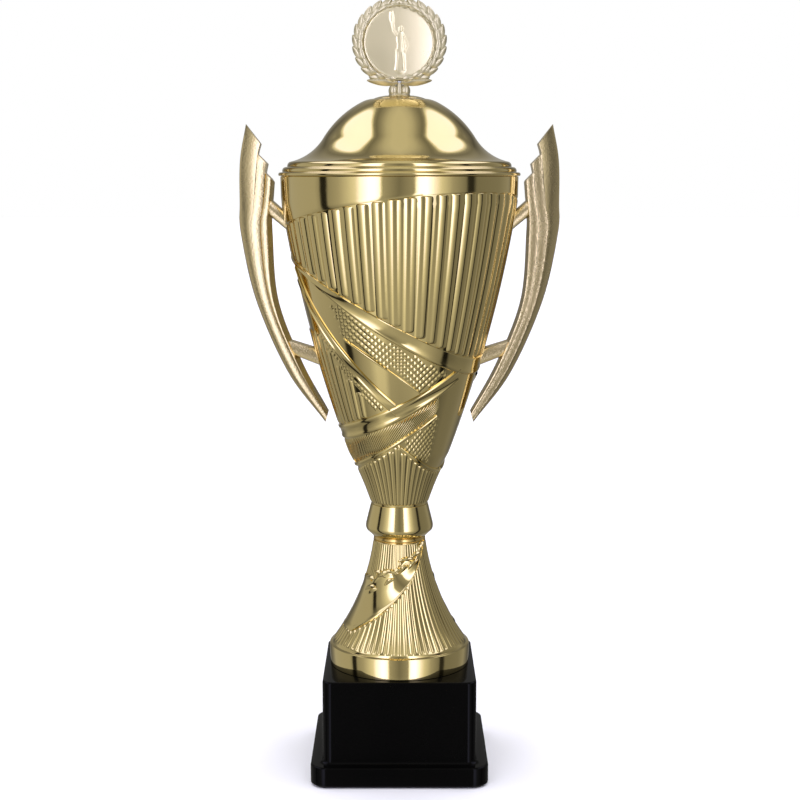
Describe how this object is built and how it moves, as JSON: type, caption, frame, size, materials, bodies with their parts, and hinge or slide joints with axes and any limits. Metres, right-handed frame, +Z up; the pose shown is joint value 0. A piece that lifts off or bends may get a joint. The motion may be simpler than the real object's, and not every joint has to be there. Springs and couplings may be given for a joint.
{
  "type": "cup trophy",
  "caption": "Lidded two-handled presentation cup on a trumpet foot and a square black plinth, with a laurel wreath emblem holder on its lid.",
  "frame": {"origin": "middle of the base pad's underside", "axes": "+Z up along the cup's axis, the emblem faces -Y, +X towards the handle on the viewer's right"},
  "size_m": [0.2244, 0.1692, 0.5435],
  "materials": {
    "gold_gloss": "vacuum-metallised pale gold, mirror gloss",
    "gold_satin": "vacuum-metallised pale gold over a hammered satin grain",
    "pale_gold": "vacuum-metallised champagne, soft gloss",
    "emblem_foil": "anodised champagne, satin with low relief",
    "black_gloss": "polished black",
    "black_matte": "moulded matt black",
    "zinc_steel": "zinc plated",
    "cast_weight": "raw casting",
    "foam_rubber": "closed-cell sheet",
    "foam_tape": "double-sided foam tape"
  },
  "bodies": {
    "cup": {"foot_shell": "gold_gloss", "foot_ring": "gold_gloss", "collar": "gold_gloss", "bowl": "gold_gloss", "handle_left": "gold_satin", "handle_right": "gold_satin", "base_screws": "zinc_steel", "rod_lower_washer": "zinc_steel", "rod_lower_nut": "zinc_steel", "tie_rod": "zinc_steel", "bowl_washer": "zinc_steel", "bowl_nut": "zinc_steel", "handle_washers": "zinc_steel", "handle_screws": "zinc_steel", "base_pad": "foam_rubber", "plinth_shell": "black_gloss", "bottom_plate": "black_matte", "plinth_weight": "cast_weight"},
    "lid": {"lid_rim": "gold_gloss", "lid_shell": "gold_gloss", "lid_cap": "gold_gloss", "wreath_holder": "pale_gold", "emblem_tape": "foam_tape", "emblem_disc": "emblem_foil", "lid_washer": "zinc_steel", "lid_screw": "zinc_steel"}
  },
  "joints": [
    {"name": "lid_lift", "type": "slide", "parent": "cup", "child": "lid", "axis": [0, 0, 1], "range_m": [0, 0.12]}
  ]
}
